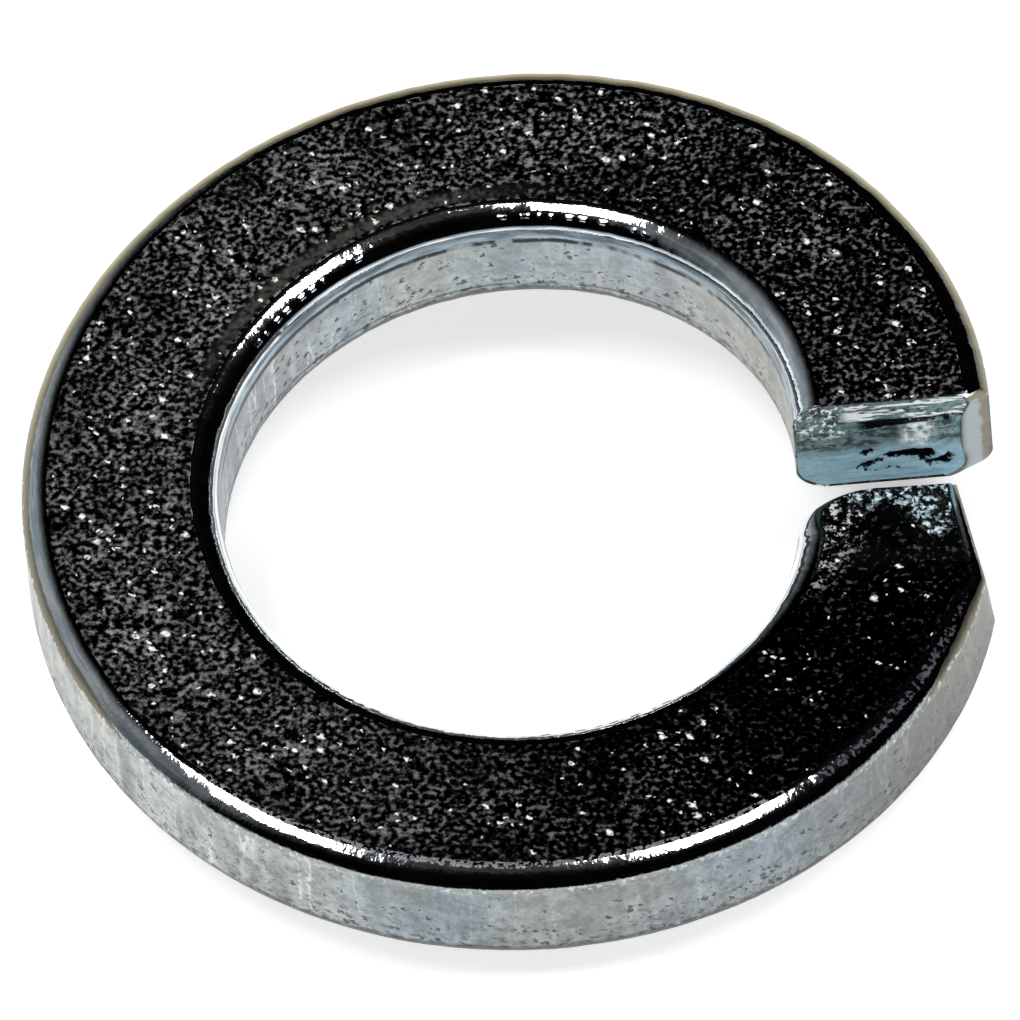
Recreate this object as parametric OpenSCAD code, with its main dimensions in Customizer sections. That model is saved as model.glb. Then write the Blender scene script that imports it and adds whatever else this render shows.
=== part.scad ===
// Spring lock washer: one open turn of flat wire with rounded edges, wound left-handed. The end beyond the
// gap stands higher than the end on its near side. The axis is Z, the lowest point lies at z = 0 and the
// gap faces +X. Sizes in millimetres, angles in degrees.

/* [Ring] */
// Diameter of the bore
bore_d = 8.6; // [8.1:0.05:8.9]
// Width of the wire section, from the bore out to the rim
section_w = 2.95; // [2.7:0.05:3.2]
// Thickness of the wire section, from the lower face to the upper face
section_t = 2; // [1.7:0.05:2.3]
// Height that the free turn climbs from its low end to its high end
climb = 1.95; // [0.6:0.05:2.6]
// Slot between the two cut ends, at the middle of the section
gap_w = 0.15; // [0.1:0.05:1.5]

/* [Edge rounding] */
// Upper outer edge, measured across the upper face
rim_top_across = 0.34; // [0.2:0.02:0.6]
// Upper outer edge, measured down the rim
rim_top_down = 0.24; // [0.16:0.02:0.5]
// Upper inner edge, measured across the upper face
bore_top_across = 0.36; // [0.2:0.02:0.6]
// Upper inner edge, measured down the bore
bore_top_down = 0.44; // [0.16:0.02:0.5]
// Both lower edges, measured across the lower face
under_across = 0.42; // [0.2:0.02:0.6]
// Both lower edges, measured up the walls
under_up = 0.38; // [0.2:0.02:0.5]

/* [Cut ends] */
// Low end: how far the cutter drew its inner corner away from the bore
inner_draw = 1.05; // [0.4:0.05:1.3]
// Low end: length of that drawn corner, along the bore
inner_draw_l = 0.75; // [0.4:0.05:1.2]
// High end: how far the cutter flattened its outer corner in from the rim, at mid-height
outer_draw = 0.45; // [0.2:0.05:0.9]
// High end: length of that flattened corner, along the rim
outer_draw_l = 0.2; // [0.2:0.05:0.8]
// Low end: depth of the flat that the anvil pressed into the rim
flat_depth = 0.6; // [0.2:0.05:0.8]
// Low end: direction that the flat faces, turned from the gap
flat_turn = 10; // [4:1:14]
// Low end: lean of the flat, deepest at the upper face
flat_lean = 6; // [0:1:9]

/* [Hidden] */

bore_r = bore_d / 2;
rim_r = bore_r + section_w;
mid_r = bore_r + section_w / 2;
half_t = section_t / 2;

// Angles of the two end faces: the turn runs from the high end to the low end
high_end = asin(gap_w / 2 / mid_r);
low_end = 360 - high_end;
turn = low_end - high_end;

// Lengths of the drawn corners as angles of the turn
inner_draw_turn = inner_draw_l / bore_r * 180 / PI;
outer_draw_turn = outer_draw_l / rim_r * 180 / PI;
flat_r = rim_r - flat_depth;

// The swept wire passes both true walls by this much, and the round cuts take it back to size
wall_over = 0.06;
// Angle at which a rounded edge stops short of running into its wall
edge_stop = 20;
edge_steps = 4;
wall_sides = 180;
through = 1;
// Steps down the rim wall, for the bowed edge of the flattened corner
wall_steps = 5;

// Stations of the sweep: close at the drawn corners and at the flat, even between them
station_step = 4;
corner_steps = 6;
flat_steps = 8;
flat_reach = 30;
even_from = high_end + outer_draw_turn;
even_to = low_end - flat_reach;
even_count = ceil((even_to - even_from) / station_step);
draw_from = low_end - inner_draw_turn;
stations = concat(
    [high_end],
    [for (i = [0:even_count - 1]) even_from + (even_to - even_from) * i / even_count],
    [for (i = [0:flat_steps - 1]) even_to + (draw_from - even_to) * i / flat_steps],
    [for (i = [0:corner_steps]) draw_from + inner_draw_turn * sin(90 * i / corner_steps)]
);

// Middle height of the section at an angle of the turn: it falls evenly from the high end to the low end
function centre_z(angle) = half_t + climb * (low_end - angle) / turn;

// Inset of the drawn inner corner: nothing at its start, the whole depth at the cut face
function drawn(part, depth) = part <= 0 ? 0 : depth * (1 - sqrt(max(0, 1 - part * part)));
function inner_inset(angle) = drawn(1 - (low_end - angle) / inner_draw_turn, inner_draw);

// Inset of the flattened outer corner: straight along the rim, and bowed, with nothing at either face
function bow(rise) = sqrt(max(0, 1 - pow(rise / half_t, 2)));
function outer_inset(angle, rise) =
    let (part = 1 - (angle - high_end) / outer_draw_turn)
    outer_draw * max(0, part) * bow(rise);

// Radius at which the leaning flat crosses a given angle and height, the height taken from mid-section
function flat_at(angle, rise) = (flat_r - rise * tan(flat_lean)) / cos(angle - 360 - flat_turn);
function flat_inset(angle, rise) = angle < even_to ? 0 : max(0, rim_r - flat_at(angle, rise));

// One rounded edge as [distance past the wall, drop from the face]. Its last facet runs straight on through
// the wall, so that no corner of the swept wire lies on the true wall itself.
function edge_arc(across, down) = [for (i = [0:edge_steps])
    let (a = 90 - (90 - edge_stop) * i / edge_steps)
    [across * (cos(a) / cos(edge_stop) - 1), down * (1 - sin(a)) / (1 - sin(edge_stop))]];
function edge_curve(across, down) =
    let (
        arc = edge_arc(across, down),
        last = arc[edge_steps - 1],
        steepness = (down - last[1]) / -last[0]
    )
    concat(
        [for (i = [0:edge_steps - 1]) arc[i]],
        [[wall_over, down + wall_over * steepness]]
    );
function backwards(list) = [for (i = [len(list) - 1:-1:0]) list[i]];

// Section outline as [radius, height from mid-section, 1 on the rim side and 0 on the bore side]
rim_edge = [for (p = edge_curve(rim_top_across, rim_top_down)) [rim_r + p[0], half_t - p[1], 1]];
under_edge = edge_curve(under_across, under_up);
wall_from = rim_edge[edge_steps][1];
wall_to = under_edge[edge_steps][1] - half_t;
section = concat(
    rim_edge,
    [for (i = [1:wall_steps - 1])
        [rim_r + wall_over, wall_from + (wall_to - wall_from) * i / wall_steps, 1]],
    [for (p = backwards(under_edge)) [rim_r + p[0], p[1] - half_t, 1]],
    [for (p = under_edge) [bore_r - p[0], p[1] - half_t, 0]],
    [for (p = backwards(edge_curve(bore_top_across, bore_top_down))) [bore_r - p[0], half_t - p[1], 0]]
);
around = len(section);

// The section placed at one station, each side moved in by its drawn corner or its flat
function placed(p, angle) =
    let (
        in_set = p[2] > 0 ? -max(outer_inset(angle, p[1]), flat_inset(angle, p[1])) : inner_inset(angle),
        r = p[0] + in_set
    )
    [r * cos(angle), r * sin(angle), centre_z(angle) + p[1]];

module swept_wire() {
    last = len(stations) - 1;
    points = [for (angle = stations) for (p = section) placed(p, angle)];
    skin = [for (s = [0:last - 1]) for (i = [0:around - 1])
        let (j = (i + 1) % around, a = s * around, b = a + around)
        each [[a + i, b + i, b + j], [a + i, b + j, a + j]]];
    high_face = [for (i = [0:around - 1]) i];
    low_face = [for (i = [around - 1:-1:0]) last * around + i];
    polyhedron(points, concat(skin, [high_face], [low_face]), convexity = 6);
}

module true_rim() {
    translate([0, 0, -through])
        cylinder(r = rim_r, h = section_t + climb + 2 * through, $fn = wall_sides);
}

module true_bore() {
    translate([0, 0, -through])
        cylinder(r = bore_r, h = section_t + climb + 2 * through, $fn = wall_sides);
}

module lock_washer() {
    color("silver")
        difference() {
            intersection() {
                swept_wire();
                true_rim();
            }
            true_bore();
        }
}

lock_washer();
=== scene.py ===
import math

import bpy
from mathutils import Matrix, Vector


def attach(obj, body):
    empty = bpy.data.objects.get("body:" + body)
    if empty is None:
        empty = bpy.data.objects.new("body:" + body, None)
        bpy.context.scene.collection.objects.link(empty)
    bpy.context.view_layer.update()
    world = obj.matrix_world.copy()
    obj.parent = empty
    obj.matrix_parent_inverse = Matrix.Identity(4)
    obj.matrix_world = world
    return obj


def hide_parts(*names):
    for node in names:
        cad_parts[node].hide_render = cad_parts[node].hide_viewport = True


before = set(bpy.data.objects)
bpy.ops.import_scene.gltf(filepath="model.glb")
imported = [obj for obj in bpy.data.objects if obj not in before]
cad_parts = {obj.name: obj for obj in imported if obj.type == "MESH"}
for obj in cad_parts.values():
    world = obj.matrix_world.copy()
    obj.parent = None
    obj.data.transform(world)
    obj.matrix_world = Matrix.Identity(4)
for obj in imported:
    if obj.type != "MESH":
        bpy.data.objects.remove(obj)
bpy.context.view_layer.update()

# Sizes of the washer in millimetres, the same as the CAD part's
BORE_D = 8.6
SECTION_W = 2.95
SECTION_T = 2.0
CLIMB = 1.95
GAP_W = 0.15
MM = 0.001
BORE_R = BORE_D / 2
MID_R = BORE_R + SECTION_W / 2
RIM_R = BORE_R + SECTION_W
FULL_TURN = 2 * math.pi
# Length of the turn at mid-section, where the mark "along" ends at the low end's cut
TURN_LENGTH = 36.2
# Arc at the bore and at the rim for each millimetre of arc at mid-section
BORE_ARC = 0.745
RIM_ARC = 1.255


# ---------------------------------------------------------------- node trees
class Tree:
    """Puts nodes into a tree and joins them, so that a rule reads like a sum."""

    def __init__(self, tree):
        self.tree = tree

    def add(self, kind, inputs=(), **settings):
        node = self.tree.nodes.new(kind)
        for name, value in settings.items():
            setattr(node, name, value)
        pairs = inputs.items() if isinstance(inputs, dict) else enumerate(inputs)
        for socket, value in pairs:
            self.feed(node.inputs[socket], value)
        return node

    def feed(self, socket, value):
        if isinstance(value, bpy.types.NodeSocket):
            self.tree.links.new(value, socket)
        elif value is not None:
            socket.default_value = value

    def math(self, operation, *values):
        return self.add("ShaderNodeMath", values, operation=operation).outputs[0]

    def chain(self, operation, values):
        result = values[0]
        for value in values[1:]:
            result = self.math(operation, result, value)
        return result

    def total(self, *values):
        return self.chain("ADD", values)

    def product(self, *values):
        return self.chain("MULTIPLY", values)

    def most(self, *values):
        return self.chain("MAXIMUM", values)

    def less(self, a, b):
        return self.math("SUBTRACT", a, b)

    def ratio(self, a, b):
        return self.math("DIVIDE", a, b)

    def share(self, value, low, high, smooth=False):
        """0 below low, 1 above high, and even or smooth between them."""
        node = self.add("ShaderNodeMapRange", clamp=True)
        node.interpolation_type = "SMOOTHSTEP" if smooth else "LINEAR"
        for socket, given in zip(("Value", "From Min", "From Max"), (value, low, high)):
            self.feed(node.inputs[socket], given)
        return node.outputs["Result"]

    def rest(self, part):
        """What a part leaves of the whole."""
        return self.less(1.0, part)

    def sided(self, flag):
        """-1 for a flag of 0, and 1 for a flag of 1."""
        return self.less(self.product(flag, 2.0), 1.0)

    def near(self, value, centre, inner, outer, smooth=False):
        """1 within inner of the centre, and 0 beyond outer."""
        away = self.math("ABSOLUTE", self.less(value, centre))
        return self.rest(self.share(away, inner, outer, smooth))

    def mix(self, part, a, b):
        """a where part is 0, b where it is 1."""
        return self.total(a, self.product(part, self.less(b, a)))

    def blend(self, part, a, b, how="MIX"):
        """The same for colours."""
        node = self.add("ShaderNodeMix", data_type="RGBA", blend_type=how)
        for socket, given in zip(("Factor", 6, 7), (part, a, b)):
            self.feed(node.inputs[socket], given)
        return node.outputs[2]

    def vector(self, x=0.0, y=0.0, z=0.0):
        return self.add("ShaderNodeCombineXYZ", (x, y, z)).outputs[0]

    def parts(self, vector):
        return self.add("ShaderNodeSeparateXYZ", (vector,)).outputs

    def vector_math(self, operation, *vectors):
        return self.add("ShaderNodeVectorMath", vectors, operation=operation).outputs[0]

    def scaled(self, vector, factors):
        return self.vector_math("MULTIPLY", vector, factors)

    def moved(self, vector, offset):
        return self.vector_math("ADD", vector, offset)

    def noise(self, vector, scale, detail=2.0, roughness=0.5, distortion=0.0):
        given = {
            "Vector": vector,
            "Scale": scale,
            "Detail": detail,
            "Roughness": roughness,
            "Distortion": distortion,
        }
        return self.add("ShaderNodeTexNoise", given, noise_dimensions="3D").outputs[0]


FLOAT, INT, VECTOR, COLOR = "NodeSocketFloat", "NodeSocketInt", "NodeSocketVector", "NodeSocketColor"
MATERIAL, GEOMETRY = "NodeSocketMaterial", "NodeSocketGeometry"


def sockets(tree, inputs, outputs):
    """Names a group's inputs and outputs: name -> (kind, start value), and name -> kind."""
    for name, (kind, start) in inputs.items():
        made = tree.interface.new_socket(name=name, in_out="INPUT", socket_type=kind)
        if start is not None:
            made.default_value = start
    for name, kind in outputs.items():
        tree.interface.new_socket(name=name, in_out="OUTPUT", socket_type=kind)


def linked(name, data):
    """A new object, put into the scene."""
    made = bpy.data.objects.new(name, data)
    bpy.context.scene.collection.objects.link(made)
    return made


# ---------------------------------------------------------------- the coiled wire
WIRE_INPUTS = {
    "Bore radius": (FLOAT, BORE_R),
    "Section width": (FLOAT, SECTION_W),
    "Section thickness": (FLOAT, SECTION_T),
    "Climb": (FLOAT, CLIMB),
    "Gap": (FLOAT, GAP_W),
    "Rim top across": (FLOAT, 0.33),
    "Rim top down": (FLOAT, 0.24),
    "Bore top across": (FLOAT, 0.38),
    "Bore top down": (FLOAT, 0.41),
    "Under across": (FLOAT, 0.42),
    "Under up": (FLOAT, 0.38),
    "Shoulder tilt": (FLOAT, 14.0),
    "Rim foot tilt": (FLOAT, 64.0),
    "Bore foot tilt": (FLOAT, 80.0),
    "Under foot tilt": (FLOAT, 78.0),
    "Inner draw": (FLOAT, 1.05),
    "Inner draw length": (FLOAT, 0.75),
    "Outer draw": (FLOAT, 0.45),
    "Outer draw length": (FLOAT, 0.16),
    "Flat depth": (FLOAT, 0.6),
    "Flat turn": (FLOAT, 10.0),
    "Flat lean": (FLOAT, 6.0),
    "Stations": (INT, 640),
    "Cap rings": (INT, 22),
    "Wall steps": (INT, 10),
    "Corner steps": (INT, 10),
    "Face steps": (INT, 12),
    "Edge wander": (FLOAT, 0.03),
    "Torn depth": (FLOAT, 0.07),
    "Face finish": (MATERIAL, None),
    "Edge finish": (MATERIAL, None),
    "Cut finish": (MATERIAL, None),
}
# How much closer than the average the stations lie at the cut ends
CROWDING = 0.55
# Part of a rounded edge that is gone where the cutter or the anvil squared the wire
SQUARED_OFF = 0.72
# The flat reaches back this far from the low end, and its border is rounded by this many millimetres
FLAT_REACH = math.radians(30)
FLAT_BORDER = 0.02
# Points nearer to each other than this are one, in millimetres
MERGE_WITHIN = 0.0005


def store_marks(t, geometry, marks):
    """Keeps each mark on the points, for the finishes to read."""
    for name, value in marks.items():
        given = {"Geometry": geometry, "Name": name, "Value": value}
        stored = t.add("GeometryNodeStoreNamedAttribute", given, data_type="FLOAT", domain="POINT")
        geometry = stored.outputs[0]
    return geometry


def dressed(t, geometry, given):
    """Joins the seams, sizes the mesh in metres, and gives each zone its finish."""
    merged = t.add("GeometryNodeMergeByDistance", {"Geometry": geometry, "Distance": MERGE_WITHIN})
    sized = t.add("GeometryNodeTransform", {"Geometry": merged.outputs[0], "Scale": (MM, MM, MM)})
    smooth = t.add("GeometryNodeSetShadeSmooth", {"Geometry": sized.outputs[0]})
    real = t.add("GeometryNodeRealizeInstances", {"Geometry": smooth.outputs[0]})
    edge = {"Geometry": real.outputs[0], "Material": given["Edge finish"]}
    finished = t.add("GeometryNodeSetMaterial", edge)
    for mark, least, material in (("face", 0.99, "Face finish"), ("cut", 0.5, "Cut finish")):
        value = t.add("GeometryNodeInputNamedAttribute", {"Name": mark}, data_type="FLOAT").outputs[0]
        chosen = {
            "Geometry": finished.outputs[0],
            "Selection": t.math("GREATER_THAN", value, least),
            "Material": given[material],
        }
        finished = t.add("GeometryNodeSetMaterial", chosen)
    return finished.outputs[0]


def coiled_wire_tree():
    """One turn of flat wire: a grid bent into a rounded section that falls along a helix, its last rings
    closing each cut end. Lengths are in millimetres until the last step."""
    tree = bpy.data.node_groups.new("coiled_wire", "GeometryNodeTree")
    sockets(tree, WIRE_INPUTS, {"Geometry": GEOMETRY})
    t = Tree(tree)
    given = t.add("NodeGroupInput").outputs

    # Counts: rows go round the section, columns go along the turn
    quarter = t.total(given["Wall steps"], given["Corner steps"], given["Face steps"])
    rows = t.total(t.product(quarter, 4.0), 1.0)
    columns = t.total(given["Stations"], t.product(given["Cap rings"], 2.0))
    grid = t.add("GeometryNodeMeshGrid", {"Vertices X": columns, "Vertices Y": rows})
    index = t.add("GeometryNodeInputIndex").outputs[0]
    column = t.math("FLOOR", t.ratio(t.total(index, 0.5), rows))
    row = t.less(index, t.product(column, rows))

    # Place round the section, from the middle of the rim wall over the top face
    step = t.math("PINGPONG", row, quarter)
    half_round = t.product(quarter, 2.0)
    over = t.math("LESS_THAN", row, t.total(half_round, 0.5))
    z_side = t.sided(over)
    rimward = t.math("LESS_THAN", t.math("PINGPONG", row, half_round), quarter)
    x_side = t.sided(rimward)
    wall_end = given["Wall steps"]
    corner_end = t.total(wall_end, given["Corner steps"])
    wall_part = t.rest(t.math("POWER", t.rest(t.share(step, 0.0, wall_end)), 1.5))
    corner_part = t.share(step, wall_end, corner_end)
    face_part = t.share(step, corner_end, quarter)

    # Place along the turn: stations lie closer near the two cut ends
    first = given["Cap rings"]
    last = t.total(first, t.less(given["Stations"], 1.0))
    along = t.share(column, first, last)
    crowding = t.product(t.math("SINE", t.product(along, FULL_TURN)), CROWDING / FULL_TURN)
    along = t.less(along, crowding)
    high_cap = t.share(t.less(first, column), 0.0, first)
    cap = t.total(high_cap, t.share(t.less(column, last), 0.0, first))
    mid_r = t.total(given["Bore radius"], t.product(given["Section width"], 0.5))
    rim_r = t.total(given["Bore radius"], given["Section width"])
    half_t = t.product(given["Section thickness"], 0.5)
    high_end = t.math("ARCSINE", t.ratio(t.product(given["Gap"], 0.5), mid_r))
    low_end = t.less(FULL_TURN, high_end)
    turn = t.less(low_end, high_end)
    angle = t.total(high_end, t.product(turn, along))

    def arch(part):
        """A quarter of a circle: 1 where part is 0, and 0 where it is 1."""
        return t.math("SQRT", t.most(0.0, t.rest(t.product(part, part))))

    def steepness(degrees):
        return t.math("TANGENT", t.math("RADIANS", degrees))

    def by_side(top_rim, top_bore, under):
        top = t.mix(rimward, given[top_bore], given[top_rim])
        return t.mix(over, given[under], top)

    # The drawn corners: how near a point is to the cut, in parts of each corner's length
    from_low = t.product(t.less(low_end, angle), given["Bore radius"])
    from_high = t.product(t.less(angle, high_end), rim_r)
    inner_part = t.most(0.0, t.rest(t.ratio(from_low, given["Inner draw length"])))
    outer_part = t.most(0.0, t.rest(t.ratio(from_high, given["Outer draw length"])))

    # The rounded edges run a little uneven along the turn
    round_place = t.vector(
        t.product(t.math("COSINE", angle), rim_r),
        t.product(t.math("SINE", angle), rim_r),
        t.total(t.product(x_side, 7.0), t.product(z_side, 3.0)),
    )
    wander = t.product(t.less(t.noise(round_place, 2.2, 3.0, 0.6), 0.5), 2.0, given["Edge wander"])

    # and thin out where the cutter and the anvil squared the wire
    near_flat = t.share(t.less(low_end, angle), math.radians(20), math.radians(12), True)
    squared = t.mix(rimward, t.share(inner_part, 0.0, 0.6), near_flat)
    kept = t.rest(t.product(squared, over, SQUARED_OFF))
    across = t.product(kept, t.total(by_side("Rim top across", "Bore top across", "Under across"), wander))
    down = t.product(kept, t.total(by_side("Rim top down", "Bore top down", "Under up"), wander))
    # Each leaves the face at the shoulder tilt and turns down to meet the wall at its foot tilt
    shoulder = steepness(given["Shoulder tilt"])
    foot = steepness(by_side("Rim foot tilt", "Bore foot tilt", "Under foot tilt"))
    knee = t.ratio(t.less(t.product(across, foot), down), t.less(foot, shoulder))
    knee_part = t.product(2.0, corner_part, t.rest(corner_part))
    foot_part = t.product(t.rest(corner_part), t.rest(corner_part))
    out = t.less(
        t.product(across, t.rest(t.product(corner_part, corner_part))),
        t.product(t.less(across, knee), knee_part),
    )
    up = t.less(t.product(down, t.rest(foot_part)), t.product(knee, shoulder, knee_part))
    wall_top = t.less(half_t, down)
    rise = t.product(z_side, t.total(t.product(wall_top, wall_part), up))
    z = t.product(rise, t.rest(cap))

    # Each side moves in by its drawn corner or by the leaning flat
    level = t.ratio(z, half_t)
    level = t.most(level, t.product(level, -0.8))
    outer_inset = t.product(given["Outer draw"], outer_part, arch(level))
    lean = t.product(z, steepness(given["Flat lean"]))
    flat_face = t.less(t.less(rim_r, given["Flat depth"]), lean)
    flat_swing = t.less(angle, t.total(FULL_TURN, t.math("RADIANS", given["Flat turn"])))
    flat_r = t.ratio(flat_face, t.math("COSINE", flat_swing))
    near_low = t.math("GREATER_THAN", angle, FULL_TURN - FLAT_REACH)
    flat_inset = t.product(near_low, t.math("SMOOTH_MAX", 0.0, t.less(rim_r, flat_r), FLAT_BORDER))
    outer_r = t.less(rim_r, t.most(outer_inset, flat_inset))
    inner_r = t.total(given["Bore radius"], t.product(given["Inner draw"], t.rest(arch(inner_part))))
    half_w = t.product(t.less(outer_r, inner_r), 0.5)
    centre_r = t.product(t.total(outer_r, inner_r), 0.5)

    # Section point, and the line inside the wire to which a cap closes
    across_x = t.total(t.product(t.less(half_w, across), t.rest(face_part)), out)
    spine_x = t.product(half_w, 0.5, t.rest(face_part))
    x = t.product(x_side, t.mix(cap, across_x, spine_x))
    centre_z = t.total(half_t, t.product(given["Climb"], t.ratio(t.less(low_end, angle), turn)))
    radius = t.total(centre_r, x)
    place = t.vector(
        t.product(radius, t.math("COSINE", angle)),
        t.product(radius, t.math("SINE", angle)),
        t.total(centre_z, z),
    )
    bent = t.add("GeometryNodeSetPosition", {"Geometry": grid.outputs["Mesh"], "Position": place})

    # The shear leaves long ridges across each cut face, and below them a torn, pitted break
    cut = t.share(cap, 0.0, 0.09)
    high_side = t.math("LESS_THAN", column, t.product(columns, 0.5))
    ridge_place = t.vector(
        t.product(radius, 0.7),
        t.total(t.product(z, 5.0), t.product(high_cap, 3.0)),
        t.product(high_side, 9.0),
    )
    ridges = t.noise(ridge_place, 1.3, 2.0, 0.5)
    torn_place = t.vector(
        t.product(radius, 1.1),
        t.product(z, 2.2),
        t.total(4.0, t.product(high_side, 5.0)),
    )
    torn = t.noise(torn_place, 1.7, 4.0, 0.62, 0.6)
    break_part = t.product(
        t.share(z, -0.1, -0.35, True),
        t.share(z, -0.85, -0.6, True),
        t.share(radius, 4.9, 5.5, True),
        t.share(radius, 6.8, 6.5, True),
    )
    pits = t.product(t.share(torn, 0.44, 0.62, True), break_part)
    depth = t.product(
        given["Torn depth"],
        t.total(t.product(t.share(ridges, 0.35, 0.65), 0.45), t.product(pits, 1.3)),
    )
    inward = t.product(depth, cut, t.sided(high_side))
    along_wire = t.vector(
        t.product(t.math("SINE", angle), -1.0, inward),
        t.product(t.math("COSINE", angle), inward),
    )
    bent = t.add("GeometryNodeSetPosition", {"Geometry": bent.outputs[0], "Offset": along_wire})

    # Marks for the finishes: where a point lies on the wire, in parts or in millimetres
    marks = {
        "wall": t.total(t.rest(corner_part), t.product(2.0, wall_top, t.rest(wall_part))),
        "face": t.share(step, corner_end, t.total(corner_end, 1.0)),
        "over": over,
        "rimward": rimward,
        "cut": t.share(cap, 0.0, 0.02),
        "high": high_side,
        "flattened": t.product(t.math("GREATER_THAN", outer_inset, 0.001), rimward),
        "pits": t.product(pits, cut),
        "along": t.product(angle, mid_r),
        "rise": z,
        "across": radius,
    }
    geometry = store_marks(t, bent.outputs[0], marks)
    t.add("NodeGroupOutput", (dressed(t, geometry, given),))
    return tree


def generated(name, tree, **inputs):
    """A plain mesh object, made by a Geometry Nodes tree with the given inputs."""
    seed_mesh = bpy.data.meshes.new(name + "_start")
    maker = linked(name + "_maker", seed_mesh)
    modifier = maker.modifiers.new("nodes", "NODES")
    modifier.node_group = tree
    named = {s.name: s.identifier for s in tree.interface.items_tree if s.in_out == "INPUT"}
    for socket, value in inputs.items():
        modifier[named[socket.replace("_", " ")]] = value
    bpy.context.view_layer.update()
    graph = bpy.context.evaluated_depsgraph_get()
    mesh = bpy.data.meshes.new_from_object(
        maker.evaluated_get(graph), preserve_all_data_layers=True, depsgraph=graph
    )
    maker.modifiers.clear()
    bpy.data.objects.remove(maker)
    mesh.name = name
    return linked(name, mesh)


# ---------------------------------------------------------------- finishes
def group(name, inputs, outputs, build):
    """A shader node group: build takes its Tree and named inputs, and returns its outputs by name."""
    tree = bpy.data.node_groups.new(name, "ShaderNodeTree")
    sockets(tree, inputs, outputs)
    t = Tree(tree)
    made = build(t, t.add("NodeGroupInput").outputs)
    t.add("NodeGroupOutput", made)
    return tree


def grain(t, given):
    """Fine rolled grain: a height, and how pale each fleck of it is, the paleness partly the grain's own
    and partly painted light caught by the grains. Sparse grain has few flecks.
    """
    place = t.scaled(given["Place"], given["Fineness"])
    ripple = t.noise(place, 1.0, 1.5, 0.5)
    start = t.total(0.405, t.product(given["Sparse"], 0.07))
    flecks = t.math("POWER", t.share(ripple, start, 0.7), 1.9)
    flecks = t.product(flecks, t.less(0.21, t.product(given["Sparse"], 0.06)))
    return {"Height": t.less(ripple, 0.5), "Flecks": flecks}


def scattered(t, given):
    """Uneven dots in cells of the given spacing, on a share of the cells, brightest in the middle."""
    wobble = t.noise(given["Place"], 16.0, 0.0, 0.5)
    nudge = t.product(t.less(wobble, 0.5), given["Size"], 3.5)
    place = t.moved(given["Place"], t.vector(nudge, t.product(nudge, -0.7), 0.0))
    cells = t.add("ShaderNodeTexVoronoi", voronoi_dimensions="2D")
    t.feed(cells.inputs["Vector"], place)
    t.feed(cells.inputs["Scale"], t.ratio(1.0, given["Spacing"]))
    distance = t.product(cells.outputs["Distance"], given["Spacing"])
    pick = t.parts(cells.outputs["Color"])
    size = t.product(given["Size"], t.total(0.45, pick[1]))
    dot = t.rest(t.share(distance, t.product(size, 0.35), t.product(size, 1.25)))
    return {"Dots": t.product(dot, t.math("LESS_THAN", pick[0], given["Share"]))}


def plating_tint(t, given):
    """The zinc's hue, drifting slowly between a blue and a cream cast."""
    drift = t.share(t.noise(given["Place"], 0.45, 2.0, 0.5), 0.35, 0.65, True)
    warm = t.most(t.product(drift, 0.5), given["Warmth"])
    return {"Colour": t.blend(warm, given["Cool"], given["Warm"])}


def finish_groups():
    vector = {"Place": (VECTOR, None)}
    return {
        "grain": group(
            "rolled_grain",
            {**vector, "Fineness": (VECTOR, (11.5, 12, 11)), "Sparse": (FLOAT, 0.0)},
            {"Height": FLOAT, "Flecks": FLOAT},
            grain,
        ),
        "scattered": group(
            "scattered_dots",
            {**vector, "Spacing": (FLOAT, 0.33), "Size": (FLOAT, 0.04), "Share": (FLOAT, 0.15)},
            {"Dots": FLOAT},
            scattered,
        ),
        "tint": group(
            "plating_tint",
            {
                **vector,
                "Warmth": (FLOAT, 0.0),
                "Cool": (COLOR, (0.9, 1.0, 1.06, 1)),
                "Warm": (COLOR, (1.06, 1.0, 0.84, 1)),
            },
            {"Colour": COLOR},
            plating_tint,
        ),
    }


class Finish(Tree):
    """One material, its object place in millimetres and the washer's marks at hand."""

    def __init__(self, name, groups):
        self.material = bpy.data.materials.new(name)
        self.material.use_nodes = True
        super().__init__(self.material.node_tree)
        self.shader = self.tree.nodes["Principled BSDF"]
        self.groups = groups
        place = self.add("ShaderNodeTexCoord").outputs["Object"]
        self.place = self.scaled(place, (1 / MM, 1 / MM, 1 / MM))

    def mark(self, name):
        return self.add("ShaderNodeAttribute", attribute_name=name).outputs["Fac"]

    def use(self, name, **inputs):
        node = self.add("ShaderNodeGroup", node_tree=self.groups[name])
        for socket, value in inputs.items():
            self.feed(node.inputs[socket.replace("_", " ")], value)
        return node.outputs

    def look(self, colour, metallic, roughness):
        given = {"Base Color": colour, "Metallic": metallic, "Roughness": roughness}
        for socket, value in given.items():
            self.feed(self.shader.inputs[socket], value)

    def relief(self, height):
        """Height in millimetres."""
        bump = self.add("ShaderNodeBump", {"Strength": 1.0, "Distance": MM, "Height": height})
        self.feed(self.shader.inputs["Normal"], bump.outputs[0])


# Colours and roughness of the rolled faces
# Painted dark reflection: the faces' near-black base colour stands in for the dark room they mirror,
# darkest at the low end
PAINTED_DARK_REFLECTION, PAINTED_DARKEST_REFLECTION = (0.03, 0.03, 0.03, 1), (0.006, 0.006, 0.006, 1)
FLECK_CAST, PAINTED_HALO_CAST = (1.0, 1.0, 0.96, 1), (1.0, 0.94, 0.86, 1)
TORN_PALE, TORN_PAINTED_GLINT = (0.36, 0.5, 0.56, 1), (0.85, 0.95, 0.97, 1)
FACE_ROUGHNESS = 0.15

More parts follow.
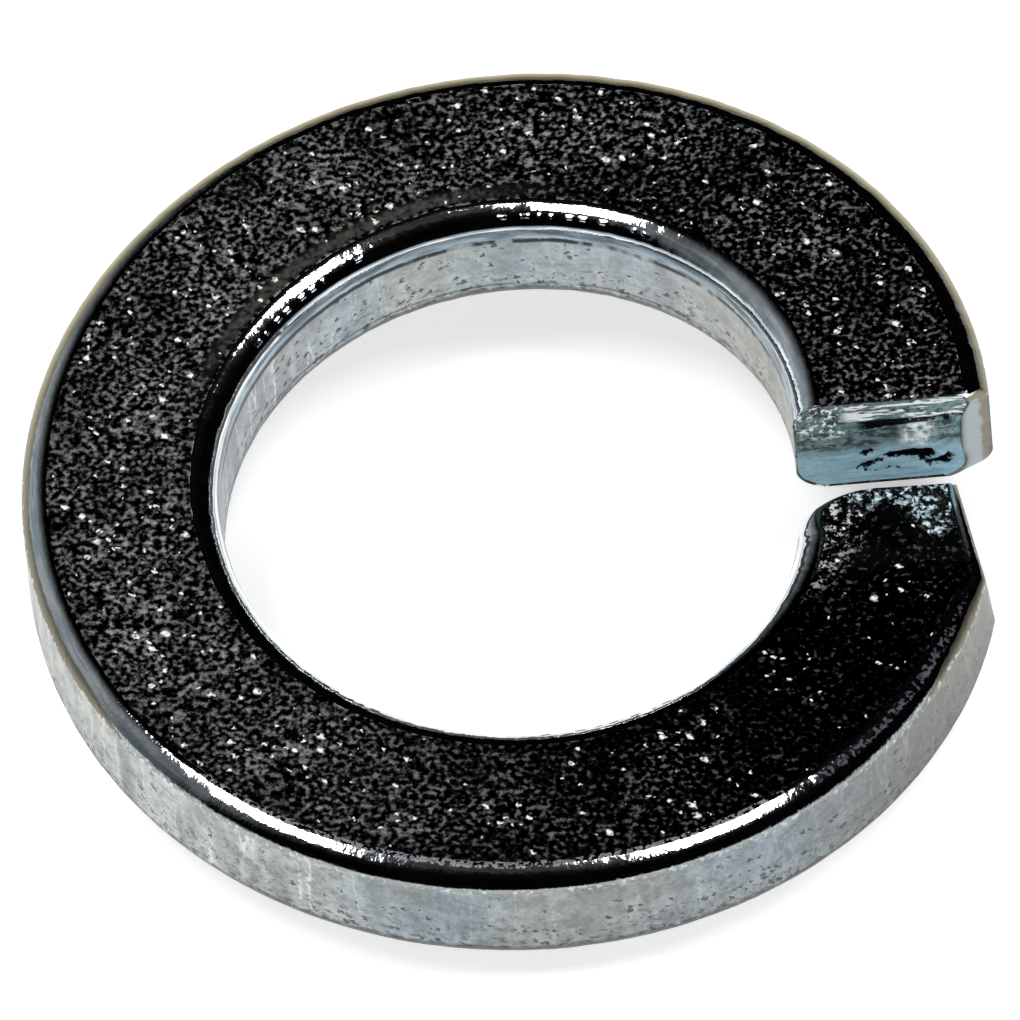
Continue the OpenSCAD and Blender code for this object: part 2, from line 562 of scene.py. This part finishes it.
# of the walls
WALL_DARK, WALL_PALE = (0.19, 0.205, 0.215, 1), (0.33, 0.35, 0.365, 1)
RIM_SHADE, RIGHT_SHADE = (0.1, 0.1, 0.1, 1), (0.08, 0.085, 0.09, 1)
LEFT_PAINTED_LIGHT, BACK_PAINTED_LIGHT = (0.52, 0.53, 0.52, 1), (0.55, 0.57, 0.58, 1)
TOOL_MARK_SHEEN, TOOL_HOLLOW_SHADE = (0.62, 0.63, 0.62, 1), (0.13, 0.14, 0.145, 1)
WALL_PIT, SEAM = (0.04, 0.045, 0.05, 1), (0.012, 0.015, 0.02, 1)
TOP_PAINTED_HIGHLIGHT, UNDER_DARK_REFLECTION = (0.62, 0.63, 0.6, 1), (0.05, 0.05, 0.045, 1)
FACET, FACET_BORDER = (0.3, 0.33, 0.34, 1), (0.19, 0.17, 0.14, 1)
WALL_ROUGHNESS = 0.38

# of the rounded edges
EDGE_DULL, EDGE_BRIGHT = (0.5, 0.55, 0.6, 1), (0.86, 0.86, 0.84, 1)
EDGE_DIM = (0.1, 0.1, 0.09, 1)
LIP_FRONT_REFLECTION, LIP_BACK_REFLECTION = (0.22, 0.2, 0.15, 1), (0.35, 0.305, 0.175, 1)
FOOT_DARK, FOOT_PALE = (0.15, 0.18, 0.21, 1), (0.33, 0.42, 0.47, 1)
FRONT_FOOT = (0.27, 0.27, 0.25, 1)
SCUFF, RIGHT_SCUFF = (0.13, 0.135, 0.165, 1), (0.085, 0.085, 0.105, 1)
EDGE_ROUGHNESS = 0.08

# and of the cut ends
SHEAR_GREEN, SHEAR_BLUE = (0.18, 0.28, 0.28, 1), (0.29, 0.48, 0.58, 1)
SHEAR_PALE, SHEAR_DIM = (0.42, 0.6, 0.68, 1), (0.02, 0.03, 0.03, 1)
SHEAR_PAINTED_GLINT, TORN_BLACK = (0.95, 1.0, 1.0, 1), (0.004, 0.005, 0.006, 1)
CUT_ROUGHNESS, TORN_ROUGHNESS = 0.28, 0.45


def low_part(f, along):
    """How far a point lies in the low end's stretch of the turn."""
    return f.share(along, 25.0, 33.0)


def sparseness(f, along):
    """How sparse the grain is along the turn: more so at the high end, and most at the low end."""
    return f.total(f.product(0.9, f.share(along, 12.0, 3.0)), f.product(1.6, low_part(f, along)))


def face_zinc(groups):
    """Rolled faces: a painted dark reflection for a base, with grey flecks of grain that are partly painted
    light, white dots as painted glints, and a pale band at the bore as a painted reflection; torn and
    scratched at the low end, with painted white glints in the tear.
    """
    f = Finish("zinc_face", groups)
    over, radius, along = (f.mark(name) for name in ("over", "across", "along"))
    x, y = f.parts(f.place)[0:2]
    fine = f.noise(f.place, 12.0, 1.0, 0.6)
    from_low = f.product(f.less(TURN_LENGTH, along), f.ratio(radius, MID_R))

    # Fewer flecks towards the gap, and towards the rounded edges
    cloud = f.share(f.noise(f.place, 0.75, 2.0, 0.6), 0.36, 0.62)
    near_rim = f.product(f.share(radius, 6.5, 7.0), f.share(y, 2.0, -1.0))
    inside = f.product(f.rest(near_rim), f.share(radius, 4.6, 5.0))
    low_end = low_part(f, along)
    thinner = f.total(f.product(0.45, f.share(along, 21.0, 28.0)), f.product(0.15, low_end))
    cover = f.product(f.total(0.5, f.product(cloud, 0.85)), f.total(0.4, f.product(inside, 0.6)))
    grained = f.use("grain", Place=f.place, Sparse=sparseness(f, along))
    flat_place = f.scaled(f.place, (1, 1, 0))
    bunched = f.share(f.noise(flat_place, 1.4, 1.0, 0.5), 0.46, 0.64, True)
    large_share, small_share = f.product(cover, 0.38, bunched), f.product(cover, 0.045)
    # Painted glints: these sparse white dots are not metallic, and stand in for grains that catch the lamps
    large = f.use("scattered", Place=flat_place, Spacing=0.22, Size=0.038, Share=large_share)
    small = f.use("scattered", Place=flat_place, Spacing=0.13, Size=0.024, Share=small_share)
    painted_glints = f.most(large["Dots"], small["Dots"])

    # A smooth pale band follows the bore at the back: a painted reflection
    painted_halo = f.product(
        f.near(radius, 4.88, 0.04, 0.2, True),
        f.share(y, 1.2, 3.2, True),
        f.share(x, 1.5, -1.0, True),
        over,
    )
    painted_halo_tone = f.product(painted_halo, f.total(0.043, f.product(grained["Height"], 0.12)))
    # The grey flecks: partly the grain's own tone, partly painted light caught by the grains
    flecks = f.product(grained["Flecks"], cover, f.rest(thinner), f.rest(painted_halo))

    # Low end: the shear tore the face open near the cut, and scratched it beside the bore
    rough_noise = f.noise(f.place, 6.5, 3.0, 0.75)
    reach = f.total(
        0.32,
        f.product(0.62, f.share(radius, 5.7, 6.35, True)),
        f.product(f.less(rough_noise, 0.5), 0.9),
    )
    torn = f.product(
        f.share(f.less(reach, from_low), 0.0, 0.12),
        f.share(radius, 5.0, 5.3),
        f.share(radius, 6.72, 6.6),
        over,
    )
    broken = f.total(rough_noise, f.product(f.less(fine, 0.5), 0.5))
    torn_pale = f.product(torn, f.share(broken, 0.5, 0.62))
    # Painted glints: white spots in the tear
    torn_glint = f.product(torn, f.share(broken, 0.6, 0.68))
    scratched = f.product(
        f.share(from_low, 2.3, 1.6),
        f.share(f.total(radius, f.product(from_low, 0.25)), 5.65, 5.25),
        f.share(broken, 0.54, 0.66),
    )

    pale = f.most(flecks, painted_glints, f.product(scratched, 0.6), painted_halo_tone)
    # Painted dark reflection as the face's base colour, darker still at the low end
    black = f.blend(f.product(low_end, over), PAINTED_DARK_REFLECTION, PAINTED_DARKEST_REFLECTION)
    colour = f.blend(f.share(pale, 0.0, 0.02), black, f.vector(pale, pale, pale))
    colour = f.blend(1.0, colour, f.blend(painted_halo, FLECK_CAST, PAINTED_HALO_CAST), "MULTIPLY")
    colour = f.blend(torn_pale, colour, f.blend(torn_glint, TORN_PALE, TORN_PAINTED_GLINT))
    dull = f.share(f.most(pale, f.product(torn_pale, 0.4)), 0.0, 0.04)
    f.look(colour, f.rest(dull), FACE_ROUGHNESS)
    grain_height = f.product(grained["Height"], f.less(0.012, f.product(low_end, 0.01)))
    f.relief(f.total(grain_height, f.product(torn, rough_noise, 0.12)))
    return f.material


def edge_zinc(groups):
    """Rounded edges polished, walls dull and pitted, and the face's grain run on to its border."""
    f = Finish("zinc_edge", groups)
    wall, face, over, rimward = (f.mark(name) for name in ("wall", "face", "over", "rimward"))
    radius, along, rise = f.mark("across"), f.mark("along"), f.mark("rise")
    x, y = f.parts(f.place)[0:2]
    boreward = f.rest(rimward)
    uneven = f.less(f.noise(f.place, 6.0, 2.0, 0.6), 0.5)
    fine = f.noise(f.place, 12.0, 1.0, 0.6)
    finely_uneven = f.less(fine, 0.5)
    face_zone = f.share(f.total(face, f.product(uneven, 0.25)), 0.5, 0.6)
    wall_from = f.mix(over, 0.2, 0.97)
    rag = f.product(
        f.total(f.product(finely_uneven, 0.5), f.product(uneven, 0.2)),
        f.total(0.3, f.product(rimward, 0.7)),
    )
    wall_zone = f.share(f.less(f.total(wall, rag), wall_from), 0.0, 0.08)
    arc = f.product(along, f.mix(rimward, BORE_ARC, RIM_ARC))
    wall_place = f.vector(arc, rise, 0.0)

    # Walls: faint upright marks from the coiling tool, made lighter with darker grooves, more so on the
    # left, as a partly painted reflection; dark pits and two rolled seams
    tall = f.vector(arc, f.product(rise, 0.1), f.product(rimward, 7.0))
    upright = f.noise(tall, 1.6, 2.0, 0.55)
    left = f.share(x, -1.0, -3.5, True)
    line = f.near(upright, 0.53, 0.004, 0.016)
    marks_and_sheen = f.product(line, f.total(0.3, f.product(left, 0.7)), f.share(fine, 0.36, 0.5))
    mottle = f.total(f.product(f.noise(f.place, 2.6, 4.0, 0.75), 0.75), f.product(fine, 0.25))
    clusters = f.product(f.share(mottle, 0.46, 0.58), f.share(rise, 0.8, -0.3), 0.9)
    specks = f.use("scattered", Place=wall_place, Spacing=0.16, Size=0.042, Share=clusters)["Dots"]
    specks = f.share(specks, 0.05, 0.5)
    fine_pits = f.share(f.noise(f.scaled(wall_place, (0.6, 1.0, 1.0)), 9.0, 2.0, 0.65), 0.53, 0.66, True)
    lower = f.share(rise, 0.1, -0.7)
    dark = f.most(specks, f.product(fine_pits, f.total(0.12, f.product(lower, 0.88))))
    colour = f.blend(f.share(mottle, 0.4, 0.6), WALL_DARK, WALL_PALE)
    colour = f.blend(f.product(rimward, 0.13), colour, RIM_SHADE)
    colour = f.blend(f.product(rimward, f.share(x, 3.0, 6.0), 0.6), colour, RIGHT_SHADE)
    # Painted light: the rim wall paler on the left
    painted_light_left = f.product(rimward, f.share(x, -1.5, -5.0), f.share(mottle, 0.36, 0.56), 0.65)
    colour = f.blend(painted_light_left, colour, LEFT_PAINTED_LIGHT)
    # Painted light: the bore wall paler at the back
    colour = f.blend(f.product(boreward, f.share(y, 0.0, 3.0), 0.14), colour, BACK_PAINTED_LIGHT)
    # Partly painted reflection: lighter tool marks and darker grooves beside them, stronger on the left
    colour = f.blend(f.product(marks_and_sheen, f.total(0.4, f.product(left, 0.3))), colour, TOOL_MARK_SHEEN)
    hollows_and_shade = f.product(f.share(upright, 0.48, 0.34), f.total(0.35, f.product(left, 0.25)))
    colour = f.blend(hollows_and_shade, colour, TOOL_HOLLOW_SHADE)
    colour = f.blend(f.product(dark, 0.85), colour, WALL_PIT)
    seam_place = f.total(rise, f.product(f.less(f.noise(tall, 0.9, 2.0, 0.65), 0.5), 0.12))
    unbroken = f.share(f.noise(f.scaled(tall, (1, 3, 1)), 3.0, 1.0, 0.6), 0.36, 0.48)
    unbroken = f.most(unbroken, f.share(x, 0.0, -1.5))
    upper_seam = f.near(seam_place, 0.53, 0.03, 0.075)
    lower_seam = f.near(seam_place, -0.52, 0.0, 0.035)
    seams = f.product(f.most(upper_seam, f.product(lower_seam, 0.75)), boreward, unbroken)
    colour = f.blend(f.product(seams, 0.95), colour, SEAM)
    # Painted highlights: pale specks along the top of the rim wall
    top_highlight = f.product(f.share(wall, 1.25, 1.0), f.share(fine, 0.52, 0.64), rimward, over)
    colour = f.blend(f.product(top_highlight, 0.7), colour, TOP_PAINTED_HIGHLIGHT)
    # Painted dark reflection: a thin dark line along the underside edge
    painted_outline = f.product(f.rest(over), f.share(f.total(wall, f.product(uneven, 0.4)), 1.14, 0.98))
    colour = f.blend(f.product(painted_outline, 0.8), colour, UNDER_DARK_REFLECTION)
    warm = f.most(
        f.product(f.share(f.math("ABSOLUTE", x), 3.5, 6.5, True), f.less(0.8, f.product(left, 0.25))),
        f.product(f.share(x, 1.2, 4.0, True), boreward, 0.8),
        f.product(left, rimward, 0.45),
    )
    tint = f.use("tint", Place=f.place, Warmth=f.product(warm, wall_zone))["Colour"]
    wall_colour = f.blend(1.0, colour, tint, "MULTIPLY")
    facet_border = f.share(f.total(radius, f.product(uneven, 0.2)), 7.06, 7.13)
    facet = f.blend(facet_border, FACET, FACET_BORDER)
    wall_colour = f.blend(f.mark("flattened"), wall_colour, facet)

    # Rounded edges: polished, dim beside the face on the two sides, with a dull lip down the rim whose
    # olive-tan colour is a painted reflection, paler at the back
    long_place = f.vector(f.product(arc, 0.5), f.product(wall, 2.5), f.product(rimward, 5.0))
    drawn_out = f.noise(long_place, 2.5, 3.0, 0.65)
    edge_colour = f.blend(f.share(drawn_out, 0.4, 0.6), EDGE_DULL, EDGE_BRIGHT)
    sides = f.most(
        f.product(rimward, f.share(x, -4.6, -5.4, True)),
        f.product(boreward, f.share(x, 1.8, 3.0, True)),
    )
    dim = f.product(sides, over, f.share(wall, 0.3, 0.02, True))
    edge_colour = f.blend(f.product(dim, 0.9), edge_colour, EDGE_DIM)
    back_lip = f.less(0.52, f.product(0.067, f.most(y, 0.0)))
    lip_from = f.total(back_lip, f.product(0.6, f.share(y, -3.0, -5.0, True)), f.product(uneven, 0.15))
    lip = f.product(f.share(f.less(wall, lip_from), 0.0, 0.06), rimward)
    # Painted reflection: the lip's tan, darker at the front and paler at the back
    lip_reflection_colour = f.blend(f.share(y, 0.0, 5.0), LIP_FRONT_REFLECTION, LIP_BACK_REFLECTION)
    edge_colour = f.blend(lip, edge_colour, lip_reflection_colour)
    foot = f.product(boreward, f.share(f.total(wall, f.product(uneven, 0.03)), 0.74, 0.84, True))
    foot_colour = f.blend(f.share(drawn_out, 0.42, 0.58), FOOT_DARK, FOOT_PALE)
    edge_colour = f.blend(foot, edge_colour, foot_colour)
    near_wall = f.share(f.total(wall, f.product(uneven, 0.2)), 0.8, 0.92)
    front_foot = f.product(rimward, over, near_wall, f.rest(lip))
    edge_colour = f.blend(front_foot, edge_colour, FRONT_FOOT)

    # The face's grain runs on to its border, and grey scuffs lie beside it at the front and on the right
    flecks = f.use("grain", Place=f.place, Sparse=sparseness(f, along))["Flecks"]
    flecks = f.product(flecks, f.less(0.8, f.product(0.6, f.share(along, 21.0, 30.0))))
    # The grain on the border sits on the same painted dark reflection
    grain_colour = f.blend(f.share(flecks, 0.0, 0.02), PAINTED_DARK_REFLECTION, f.vector(flecks, flecks, flecks))
    scuffs = f.product(
        f.share(wall, 0.2, 0.03),
        f.rest(face_zone),
        f.share(fine, 0.42, 0.6),
        f.share(y, -4.2, -6.0, True),
        f.share(x, 4.5, 3.0, True),
        over,
    )
    right_scuffs = f.product(
        f.near(wall, 0.25, 0.1, 0.25),
        f.share(f.total(fine, f.product(uneven, 0.4)), 0.36, 0.72),
        f.share(x, 3.8, 4.6, True),
        f.share(y, -1.5, -3.2, True),
        f.product(over, rimward),
    )
    edge_colour = f.blend(scuffs, edge_colour, SCUFF)
    edge_colour = f.blend(f.share(right_scuffs, 0.0, 0.25), edge_colour, RIGHT_SCUFF)
    edge_colour = f.blend(face_zone, edge_colour, grain_colour)
    all_scuffs = f.share(f.most(scuffs, right_scuffs), 0.3, 0.8)
    dull = f.most(all_scuffs, f.share(f.product(face_zone, flecks), 0.0, 0.04))
    rough = f.total(EDGE_ROUGHNESS, f.product(lip, 0.3), f.product(foot, 0.25), f.product(face_zone, 0.07))
    f.look(
        f.blend(wall_zone, edge_colour, wall_colour),
        f.rest(f.product(dull, f.rest(wall_zone))),
        f.mix(wall_zone, rough, WALL_ROUGHNESS),
    )

    # Relief, in millimetres; a thin ridge down the bore's edge catches the light in dashes
    dashes = f.share(f.noise(f.vector(arc, 0.0, 3.0), 6.0, 0.0, 0.5), 0.47, 0.6, True)
    dashed = f.most(f.near(x, -2.75, 0.75, 1.0), f.near(x, 1.2, 1.0, 1.25))
    ridge = f.near(wall, 0.4, 0.0, 0.09, True)
    ridge = f.product(ridge, dashes, dashed, boreward, over, 0.011)
    ripples = f.total(f.product(uneven, 0.004), f.product(finely_uneven, 0.0015))
    right_edge = f.product(f.share(x, 2.0, 3.5, True), f.share(wall, 0.05, 0.25, True))
    calm = f.product(boreward, f.most(f.share(wall, 0.45, 0.65, True), right_edge), 0.93)
    f.relief(f.total(f.product(ripples, f.rest(calm)), ridge))
    return f.material


def cut_zinc(groups):
    """Sheared and torn ends: streaks above carrying painted white glints, a smooth blue shear below, and
    black pits between.
    """
    f = Finish("zinc_cut", groups)
    radius, rise, high = f.mark("across"), f.mark("rise"), f.mark("high")
    place = f.vector(f.product(radius, 0.8), f.product(rise, 4.0), high)
    streaks = f.noise(place, 2.3, 3.0, 0.65)
    torn = f.noise(f.place, 6.0, 3.0, 0.65)
    fine = f.noise(f.place, 11.0, 2.0, 0.6)
    waver = f.less(f.noise(place, 0.8, 2.0, 0.6), 0.5)
    level = f.total(rise, f.product(waver, 0.3))

    upper = f.share(level, 0.45, 0.55, True)
    bore_end = f.share(radius, 5.15, 4.95, True)
    shiny = f.product(upper, f.share(streaks, 0.5, 0.55, True), f.rest(bore_end))
    sparkles = f.product(bore_end, f.share(level, 0.1, 0.3), f.share(fine, 0.53, 0.6))
    spot = f.product(
        f.near(radius, 6.15, 0.15, 0.35, True),
        f.near(level, 0.12, 0.25, 0.45, True),
        f.share(torn, 0.4, 0.6),
    )
    crack = f.product(
        f.near(level, 0.42, 0.06, 0.09, True),
        f.share(radius, 5.15, 5.4, True),
        f.share(f.less(torn, f.product(f.share(radius, 5.9, 6.1), 0.14)), 0.33, 0.37),
    )
    dim = f.product(f.share(f.total(torn, streaks), 0.98, 1.06), f.share(level, -0.3, 0.0, True), 0.8)
    pits = f.share(f.total(f.mark("pits"), f.product(f.less(fine, 0.5), 1.4)), 0.42, 0.6)

    lower = f.share(level, 0.0, -0.35, True)
    colour = f.blend(lower, SHEAR_GREEN, SHEAR_BLUE)
    colour = f.blend(f.product(f.share(fine, 0.45, 0.6), 0.3), colour, SHEAR_PALE)
    colour = f.blend(dim, colour, SHEAR_DIM)
    # Painted glints: near-white, mostly not metallic, on the streaks, the sparkles and a spot
    bright = f.most(shiny, sparkles, spot)
    colour = f.blend(f.product(bright, 0.95), colour, SHEAR_PAINTED_GLINT)
    dark_marks = f.most(pits, f.product(crack, 0.97))
    colour = f.blend(dark_marks, colour, TORN_BLACK)
    metallic = f.mix(dark_marks, f.less(0.5, f.product(0.4, f.most(bright, lower))), 1.0)
    f.look(colour, metallic, f.mix(f.share(torn, 0.4, 0.6), CUT_ROUGHNESS, TORN_ROUGHNESS))
    height = f.total(f.product(streaks, 0.04), f.product(torn, 0.03), f.product(sparkles, 0.02))
    f.relief(f.less(height, f.product(dark_marks, 0.05)))
    return f.material


# ---------------------------------------------------------------- stage, light and camera
TARGET = Vector((0.0, 0.0, (SECTION_T + CLIMB) / 2)) * MM
FLOOR_REACH = 6.0
FLOOR_PALE = (0.88, 0.88, 0.88, 1.0)
FLOOR_GLOW = 0.5

# The softboxes: direction, long axis, width and length in metres, watts, and whether metal mirrors them
LIGHT_DISTANCE = 0.6
LIGHTS = {
    "light_right": ((0.3285, -0.02, 0.944), (0.43, -0.9, 0.0), (0.14, 0.3), 1.5, True),
    "light_left": ((-0.3465, -0.0285, 0.9377), (-0.43, -0.9, 0.0), (0.17, 0.28), 1.65, True),
    "fill": ((0.05, -0.84, 0.54), (1.0, 0.0, 0.0), (0.2, 0.2), 1.6, False),
}
HORIZON_GLOW, WALL_GLOW = (0.62, 0.74, 0.82), (0.36, 0.4, 0.42)
CEILING_GLOW, ROOM_GLOW = (0.03, 0.03, 0.035), (0.001, 0.001, 0.001)

# The photograph's view: the picture's width, the rim's radius and the washer's shift from the middle in
# pixels, the angles in degrees and the camera's distance in metres
PIXELS = 1020
RIM_PIXELS = 486.3
SHIFT_PIXELS = (0.39, 2.3)
ELEVATION, AZIMUTH, ROLL = 52.95, 1.35, -5.33
CAMERA_DISTANCE = 0.6125
SENSOR_WIDTH = 36.0


def stage_floor():
    mesh = bpy.data.meshes.new("floor")
    corners = [(x * FLOOR_REACH, y * FLOOR_REACH, 0) for x, y in ((-1, -1), (1, -1), (1, 1), (-1, 1))]
    mesh.from_pydata(corners, [], [(0, 1, 2, 3)])
    floor = linked("floor", mesh)
    material = bpy.data.materials.new("pale_floor")
    material.use_nodes = True
    shader = material.node_tree.nodes["Principled BSDF"]
    shader.inputs["Base Color"].default_value = FLOOR_PALE
    shader.inputs["Roughness"].default_value = 1.0
    shader.inputs["Specular IOR Level"].default_value = 0.0
    shader.inputs["Emission Color"].default_value = (1.0, 1.0, 1.0, 1.0)
    shader.inputs["Emission Strength"].default_value = FLOOR_GLOW
    mesh.materials.append(material)


def turned_at(side, up, back, place):
    """The matrix of a light or a camera at a place, looking the way opposite to back."""
    matrix = Matrix((side, up, back)).transposed().to_4x4()
    matrix.translation = place
    return matrix


def soft_light(name, direction, long_axis, size, power, mirrored):
    """A softbox facing the washer, its long side along long_axis."""
    data = bpy.data.lights.new(name, "AREA")
    data.shape = "RECTANGLE"
    data.size, data.size_y = size
    data.energy = power
    light = linked(name, data)
    back = Vector(direction).normalized()
    side = Vector(long_axis).cross(back).normalized()
    light.matrix_world = turned_at(side, back.cross(side), back, TARGET + back * LIGHT_DISTANCE)
    light.visible_camera = False
    light.visible_glossy = mirrored


def dark_dome():
    """A dark room with a pale blue horizon, a dim ceiling patch and a soft grey wall on the left."""
    world = bpy.data.worlds.new("studio")
    bpy.context.scene.world = world
    world.use_nodes = True
    t = Tree(world.node_tree)
    x, y, z = t.parts(t.add("ShaderNodeTexCoord").outputs["Generated"])[0:3]

    def glow(part, colour):
        return t.scaled(t.vector(part, part, part), colour)

    horizon = t.rest(t.share(z, 0.05, 0.17, True))
    ceiling = t.share(z, 0.95, 0.99, True)
    wall = t.product(
        t.share(x, -0.2, -0.75, True),
        t.total(t.product(t.share(y, -0.5, -0.2, True), 0.3), t.product(t.share(y, -0.3, 0.5, True), 0.7)),
        t.rest(t.share(z, 0.8, 0.95, True)),
    )
    light = t.moved(glow(horizon, HORIZON_GLOW), glow(wall, WALL_GLOW))
    light = t.moved(light, glow(ceiling, CEILING_GLOW))
    light = t.moved(light, ROOM_GLOW)
    background = world.node_tree.nodes["Background"]
    t.feed(background.inputs["Color"], light)
    background.inputs["Strength"].default_value = 1.0


def photo_camera():
    """A long lens at the photograph's angle."""
    pixel = RIM_R / RIM_PIXELS * MM
    elevation, azimuth, roll = (math.radians(angle) for angle in (ELEVATION, AZIMUTH, ROLL))
    level = Vector((math.cos(azimuth), math.sin(azimuth), 0.0))
    outward = Vector((math.sin(azimuth), -math.cos(azimuth), 0.0))
    back = outward * math.cos(elevation) + Vector((0.0, 0.0, math.sin(elevation)))
    upright = back.cross(level)
    across = level * math.cos(roll) + upright * math.sin(roll)
    up = upright * math.cos(roll) - level * math.sin(roll)
    right, down = SHIFT_PIXELS
    aim = TARGET - across * (right * pixel) + up * (down * pixel)
    data = bpy.data.cameras.new("camera")
    data.sensor_width = SENSOR_WIDTH
    data.lens = SENSOR_WIDTH * CAMERA_DISTANCE / (PIXELS * pixel)
    data.clip_start, data.clip_end = 0.05, 20.0
    camera = linked("camera", data)
    camera.matrix_world = turned_at(across, up, back, aim + back * CAMERA_DISTANCE)
    bpy.context.scene.camera = camera


photo_camera()
stage_floor()
for light_name, settings in LIGHTS.items():
    soft_light(light_name, *settings)
dark_dome()
scene = bpy.context.scene
scene.view_settings.view_transform = "Standard"
scene.cycles.max_bounces = 3
scene.cycles.diffuse_bounces = 1
scene.cycles.glossy_bounces = 2

finishes = finish_groups()
washer = generated(
    "washer",
    coiled_wire_tree(),
    Face_finish=face_zinc(finishes),
    Edge_finish=edge_zinc(finishes),
    Cut_finish=cut_zinc(finishes),
)
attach(washer, "root")
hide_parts("lock_washer")
